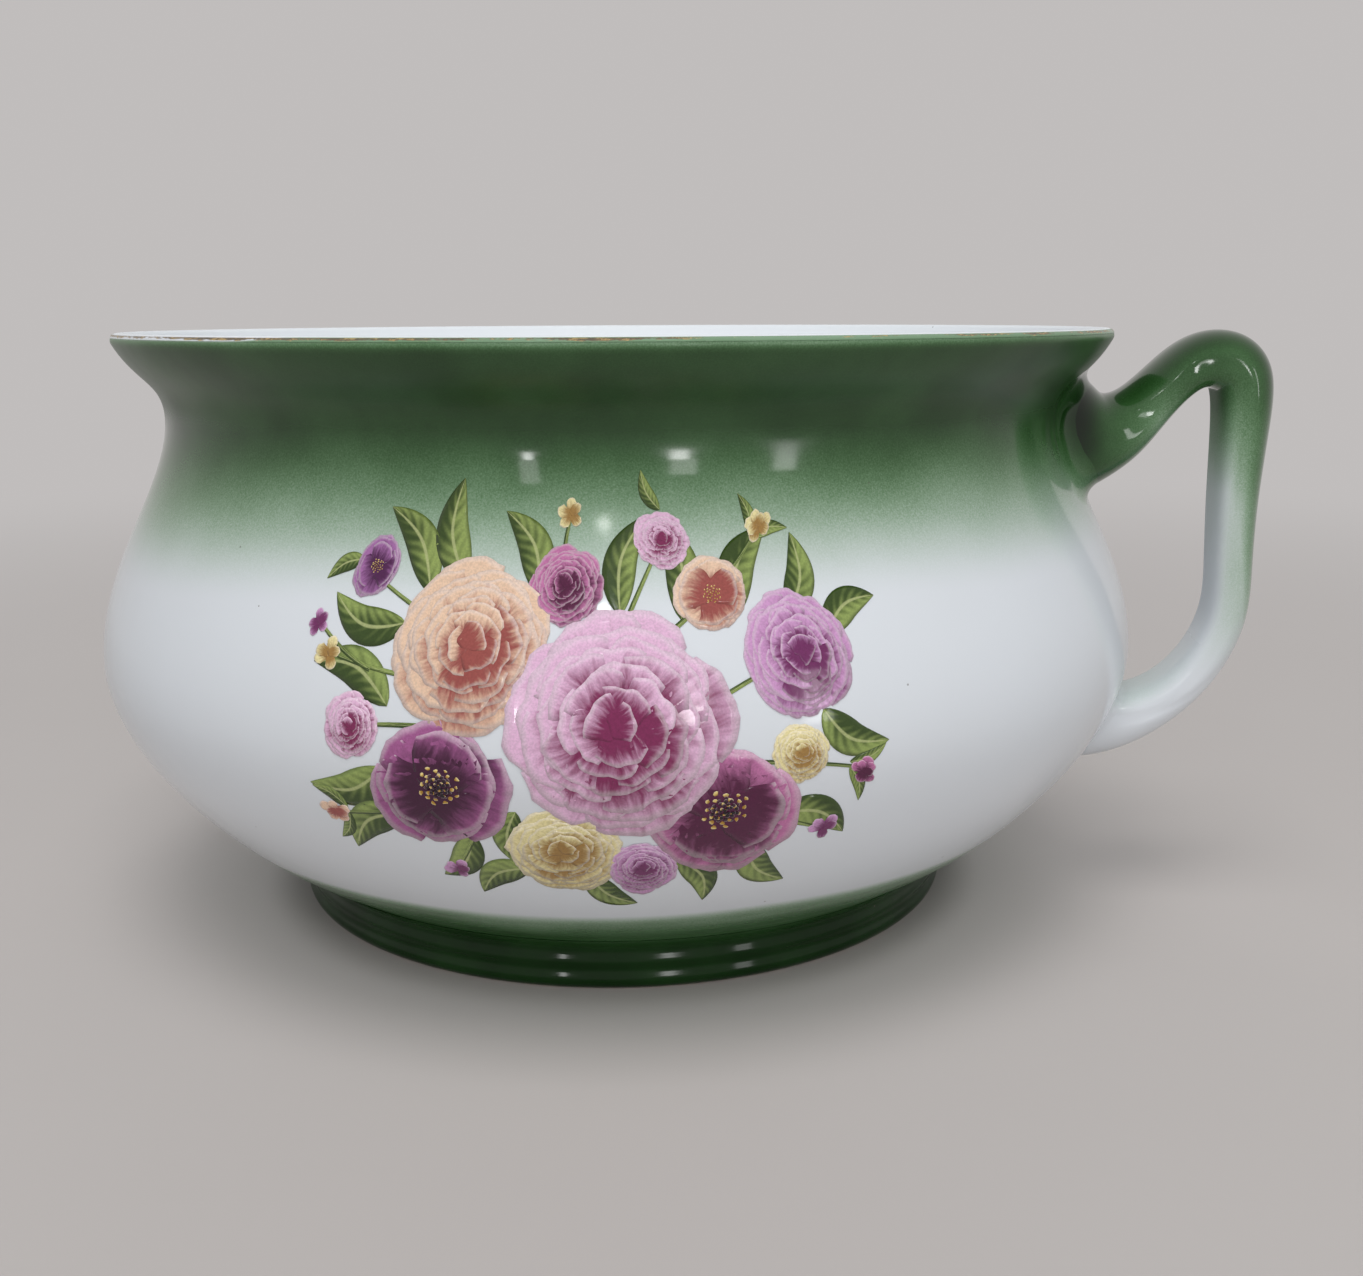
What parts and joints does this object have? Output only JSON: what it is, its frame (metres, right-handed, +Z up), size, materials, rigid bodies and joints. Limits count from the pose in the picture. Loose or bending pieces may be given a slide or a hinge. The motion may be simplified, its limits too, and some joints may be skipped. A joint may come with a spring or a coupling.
{
  "type": "chamber pot",
  "caption": "Glazed earthenware chamber pot: round waisted bowl with a flared rim, turned foot ring and strap handle, shaded green to white with a printed flower spray.",
  "frame": {"origin": "centre of the foot ring's bearing face, on the pot's axis and on the table", "axes": "+Z up along the pot's axis, +X from the axis out through the handle"},
  "size_m": [0.2723, 0.2442, 0.134],
  "materials": {
    "shaded_glaze": "glossy white glaze, sprayed green from the neck up, fading to white at the belly",
    "foot_glaze": "glossy dark green glaze",
    "slip": "fired clay slip",
    "handle_glaze": "glossy glaze, green on the stem and crown, fading to white at the heel",
    "top_slip_glaze": "slip under glossy green glaze",
    "bottom_slip_glaze": "slip under glossy white glaze",
    "gilt": "worn burnished gilding",
    "flower_print": "many-coloured printed flowers under clear glaze"
  },
  "bodies": {
    "root": {"bowl": "shaded_glaze", "foot_ring": "foot_glaze", "foot_slip": "slip", "handle": "handle_glaze", "handle_top_slip": "top_slip_glaze", "handle_bottom_slip": "bottom_slip_glaze", "rim_gilding": "gilt", "flower_transfer": "flower_print"}
  },
  "joints": []
}
